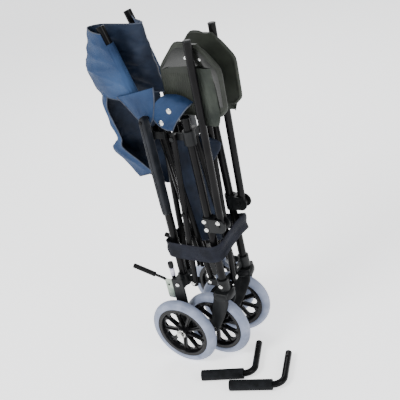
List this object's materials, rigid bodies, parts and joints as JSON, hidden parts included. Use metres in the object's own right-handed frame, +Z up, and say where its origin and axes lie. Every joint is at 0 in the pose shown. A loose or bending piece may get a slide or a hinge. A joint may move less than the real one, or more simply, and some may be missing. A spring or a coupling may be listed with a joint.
{
  "type": "transport wheelchair",
  "caption": "Travel transport wheelchair folded into an upright bundle on its wheels, with lift-off push handles beside it.",
  "frame": {"origin": "on the floor under the middle of the bounding box", "axes": "+X forward, +Y to the sitter's left, +Z up"},
  "size_m": [0.4676, 0.3596, 0.988],
  "materials": {
    "frame_paint": "gloss",
    "moulding": "satin",
    "rim": "gloss",
    "tyre": "satin",
    "zinc": "satin",
    "steel": "bright",
    "grip": "matte foam",
    "fabric": "woven nylon",
    "strap": "webbing",
    "footplate": "ribbed"
  },
  "bodies": {
    "front_right": {"front_leg_right": "frame_paint", "front_hub_right": "moulding", "front_bolts_right": "steel", "footrest_bracket_right": "moulding", "bundle_strap": "strap"},
    "side_b_right": {"side_bar_b_right": "frame_paint"},
    "side_a_right": {"side_bar_a_right": "frame_paint"},
    "rear_right": {"rear_post_right": "frame_paint", "rear_hub_right": "moulding", "rear_bolts_right": "steel", "brake_plate_right": "zinc", "back_upholstery": "fabric"},
    "rear_slider_right": {"rear_slider_right": "moulding"},
    "front_slider_right": {"front_slider_right": "moulding"},
    "rear_wheel_right": {"rear_rim_right": "rim", "rear_tyre_right": "tyre"},
    "caster_right": {"caster_fork_right": "moulding", "caster_axle_right": "steel"},
    "caster_wheel_right": {"caster_rim_right": "rim", "caster_tyre_right": "tyre"},
    "brake_right": {"brake_lever_right": "frame_paint", "brake_grip_right": "grip"},
    "hanger_right": {"footrest_hanger_right": "frame_paint"},
    "footplate_right": {"footplate_right": "footplate"},
    "armrest_right": {"armrest_right": "fabric"},
    "seat_rail_right": {"seat_rail_right": "frame_paint", "seat_sling": "fabric"},
    "push_handle_right": {"push_handle_right_tube": "frame_paint", "push_handle_right_grip": "grip"},
    "front_left": {"front_leg_left": "frame_paint", "front_hub_left": "moulding", "front_bolts_left": "steel", "footrest_bracket_left": "moulding"},
    "side_b_left": {"side_bar_b_left": "frame_paint"},
    "side_a_left": {"side_bar_a_left": "frame_paint"},
    "rear_left": {"rear_post_left": "frame_paint", "rear_hub_left": "moulding", "rear_bolts_left": "steel", "brake_plate_left": "zinc"},
    "rear_slider_left": {"rear_slider_left": "moulding"},
    "front_slider_left": {"front_slider_left": "moulding"},
    "rear_wheel_left": {"rear_rim_left": "rim", "rear_tyre_left": "tyre"},
    "caster_left": {"caster_fork_left": "moulding", "caster_axle_left": "steel"},
    "caster_wheel_left": {"caster_rim_left": "rim", "caster_tyre_left": "tyre"},
    "brake_left": {"brake_lever_left": "frame_paint", "brake_grip_left": "grip"},
    "hanger_left": {"footrest_hanger_left": "frame_paint"},
    "footplate_left": {"footplate_left": "footplate"},
    "armrest_left": {"armrest_left": "fabric"},
    "seat_rail_left": {"seat_rail_left": "frame_paint"},
    "push_handle_left": {"push_handle_left_tube": "frame_paint", "push_handle_left_grip": "grip"},
    "front_bar_up_left": {"front_bar_up_left": "frame_paint"},
    "front_bar_up_right": {"front_bar_up_right": "frame_paint"},
    "back_bar_up_left": {"back_bar_up_left": "frame_paint"},
    "back_bar_up_right": {"back_bar_up_right": "frame_paint"},
    "back_sleeve_left": {"back_sleeve_left": "fabric"}
  },
  "joints": [
    {"name": "fold", "type": "hinge", "parent": "front_right", "child": "side_b_right", "pos_m": [0.00165, -0.02266, 0.245], "axis": [0, -1, 0], "range_deg": [0, 52.13], "deforming": ["bundle_strap"]},
    {"name": "cross_side_right", "type": "hinge", "parent": "side_b_right", "child": "side_a_right", "pos_m": [-0.01985, -0.02266, 0.46897], "axis": [0, 1, 0], "range_deg": [0, 104.28]},
    {"name": "rear_foot_right", "type": "hinge", "parent": "side_a_right", "child": "rear_right", "pos_m": [-0.04135, -0.02266, 0.245], "axis": [0, -1, 0], "range_deg": [0, 52.14]},
    {"name": "rear_collar_right", "type": "hinge", "parent": "side_b_right", "child": "rear_slider_right", "pos_m": [-0.04135, -0.02266, 0.69294], "axis": [0, 1, 0], "range_deg": [0, 52.14]},
    {"name": "front_collar_right", "type": "hinge", "parent": "side_a_right", "child": "front_slider_right", "pos_m": [0.00165, -0.02266, 0.69294], "axis": [0, -1, 0], "range_deg": [0, 52.14]},
    {"name": "fold_left", "type": "hinge", "parent": "front_left", "child": "side_b_left", "pos_m": [0.00165, 0.09734, 0.245], "axis": [0, -1, 0], "range_deg": [0, 52.14]},
    {"name": "cross_side_left", "type": "hinge", "parent": "side_b_left", "child": "side_a_left", "pos_m": [-0.01985, 0.09734, 0.46897], "axis": [0, 1, 0], "range_deg": [0, 104.28]},
    {"name": "rear_foot_left", "type": "hinge", "parent": "side_a_left", "child": "rear_left", "pos_m": [-0.04135, 0.09734, 0.245], "axis": [0, -1, 0], "range_deg": [0, 52.14]},
    {"name": "rear_collar_left", "type": "hinge", "parent": "side_b_left", "child": "rear_slider_left", "pos_m": [-0.04135, 0.09734, 0.69294], "axis": [0, 1, 0], "range_deg": [0, 52.14]},
    {"name": "front_collar_left", "type": "hinge", "parent": "side_a_left", "child": "front_slider_left", "pos_m": [0.00165, 0.09734, 0.69294], "axis": [0, -1, 0], "range_deg": [0, 52.14]},
    {"name": "front_cross_foot", "type": "hinge", "parent": "front_right", "child": "front_bar_up_left", "pos_m": [0.04415, 0.01584, 0.245], "axis": [-1, 0, 0], "range_deg": [0, 52.14]},
    {"name": "front_cross", "type": "hinge", "parent": "front_bar_up_left", "child": "front_bar_up_right", "pos_m": [0.04415, 0.03734, 0.46897], "axis": [1, 0, 0], "range_deg": [0, 104.28]},
    {"name": "front_cross_left_foot", "type": "hinge", "parent": "front_bar_up_right", "child": "front_left", "pos_m": [0.04415, 0.05884, 0.245], "axis": [-1, 0, 0], "range_deg": [0, 52.14]},
    {"name": "back_cross_foot", "type": "hinge", "parent": "rear_right", "child": "back_bar_up_left", "pos_m": [-0.08385, 0.01584, 0.245], "axis": [-1, 0, 0], "range_deg": [0, 52.14]},
    {"name": "back_cross", "type": "hinge", "parent": "back_bar_up_left", "child": "back_bar_up_right", "pos_m": [-0.08385, 0.03734, 0.46897], "axis": [1, 0, 0], "range_deg": [0, 104.28]},
    {"name": "seat_rail_swing", "type": "hinge", "parent": "side_b_right", "child": "seat_rail_right", "pos_m": [-0.04135, 0.00834, 0.69294], "axis": [0, -1, 0], "range_deg": [0, 37.89], "deforming": ["seat_sling"]},
    {"name": "seat_spread", "type": "slide", "parent": "seat_rail_right", "child": "seat_rail_left", "axis": [0, 1, 0], "range_m": [0, 0.3375]},
    {"name": "back_spread", "type": "slide", "parent": "rear_right", "child": "back_sleeve_left", "axis": [0, 1, 0], "range_m": [0, 0.3375], "deforming": ["back_sleeve_left", "back_upholstery"]},
    {"name": "rear_wheel_spin_right", "type": "hinge", "parent": "rear_right", "child": "rear_wheel_right", "pos_m": [-0.08385, -0.08066, 0.1015], "axis": [0, 1, 0], "continuous": true},
    {"name": "caster_swivel_right", "type": "hinge", "parent": "front_right", "child": "caster_right", "pos_m": [0.04415, -0.02266, 0.1015], "axis": [0, 0, 1], "range_deg": [-16, 5]},
    {"name": "caster_wheel_spin_right", "type": "hinge", "parent": "caster_right", "child": "caster_wheel_right", "pos_m": [-0.00585, -0.02266, 0.1015], "axis": [0, 1, 0], "continuous": true},
    {"name": "brake_right_lever", "type": "hinge", "parent": "rear_right", "child": "brake_right", "pos_m": [-0.11785, -0.02266, 0.238], "axis": [0, -1, 0], "range_deg": [0, 22]},
    {"name": "footrest_swing_right", "type": "hinge", "parent": "front_right", "child": "hanger_right", "pos_m": [0.08015, -0.02266, 0.44], "axis": [0, 1, 0], "range_deg": [0, 135]},
    {"name": "footplate_flip_right", "type": "hinge", "parent": "hanger_right", "child": "footplate_right", "pos_m": [0.09708, -0.00016, 0.9247], "axis": [0.9994, 0, -0.0349], "range_deg": [0, 80.05]},
    {"name": "armrest_lift_right", "type": "hinge", "parent": "rear_right", "child": "armrest_right", "pos_m": [-0.05485, -0.02266, 0.752], "axis": [0, -1, 0], "range_deg": [0, 90]},
    {"name": "push_handle_lift_right", "type": "slide", "parent": "front_right", "child": "push_handle_right", "axis": [0.7071, 0, 0.7071], "range_m": [0, 0.1]},
    {"name": "rear_wheel_spin_left", "type": "hinge", "parent": "rear_left", "child": "rear_wheel_left", "pos_m": [-0.08385, 0.15534, 0.1015], "axis": [0, 1, 0], "continuous": true},
    {"name": "caster_swivel_left", "type": "hinge", "parent": "front_left", "child": "caster_left", "pos_m": [0.04415, 0.09734, 0.1015], "axis": [0, 0, 1], "range_deg": [-20, 1]},
    {"name": "caster_wheel_spin_left", "type": "hinge", "parent": "caster_left", "child": "caster_wheel_left", "pos_m": [-0.00415, 0.0844, 0.1015], "axis": [-0.2588, 0.9659, 0], "continuous": true},
    {"name": "brake_left_lever", "type": "hinge", "parent": "rear_left", "child": "brake_left", "pos_m": [-0.11785, 0.09734, 0.238], "axis": [0, -1, 0], "range_deg": [0, 22]},
    {"name": "footrest_swing_left", "type": "hinge", "parent": "front_left", "child": "hanger_left", "pos_m": [0.08015, 0.09734, 0.44], "axis": [0, 1, 0], "range_deg": [0, 135]},
    {"name": "footplate_flip_left", "type": "hinge", "parent": "hanger_left", "child": "footplate_left", "pos_m": [0.09708, 0.07484, 0.9247], "axis": [-0.9994, 0, 0.0349], "range_deg": [0, 80.05]},
    {"name": "armrest_lift_left", "type": "hinge", "parent": "rear_left", "child": "armrest_left", "pos_m": [-0.05485, 0.09734, 0.752], "axis": [0, -1, 0], "range_deg": [0, 90]},
    {"name": "push_handle_lift_left", "type": "slide", "parent": "front_right", "child": "push_handle_left", "axis": [0.7071, 0, 0.7071], "range_m": [0, 0.1]}
  ],
  "couplings": [
    {"joint": "cross_side_right", "follows": "fold", "ratio": 2},
    {"joint": "rear_foot_right", "follows": "fold", "ratio": 1},
    {"joint": "rear_collar_right", "follows": "fold", "ratio": 1},
    {"joint": "front_collar_right", "follows": "fold", "ratio": 1},
    {"joint": "fold_left", "follows": "fold", "ratio": 1},
    {"joint": "cross_side_left", "follows": "fold", "ratio": 2},
    {"joint": "rear_foot_left", "follows": "fold", "ratio": 1},
    {"joint": "rear_collar_left", "follows": "fold", "ratio": 1},
    {"joint": "front_collar_left", "follows": "fold", "ratio": 1},
    {"joint": "front_cross_foot", "follows": "fold", "ratio": 1},
    {"joint": "front_cross", "follows": "fold", "ratio": 2},
    {"joint": "front_cross_left_foot", "follows": "fold", "ratio": 1},
    {"joint": "back_cross_foot", "follows": "fold", "ratio": 1},
    {"joint": "back_cross", "follows": "fold", "ratio": 2},
    {"joint": "seat_rail_swing", "follows": "fold", "ratio": 0.72649},
    {"joint": "seat_spread", "follows": "fold", "m_per_rad": 0.3704},
    {"joint": "back_spread", "follows": "fold", "m_per_rad": 0.3704},
    {"joint": "footplate_flip_right", "follows": "fold", "ratio": 1.5347},
    {"joint": "footplate_flip_left", "follows": "fold", "ratio": 1.5347}
  ]
}
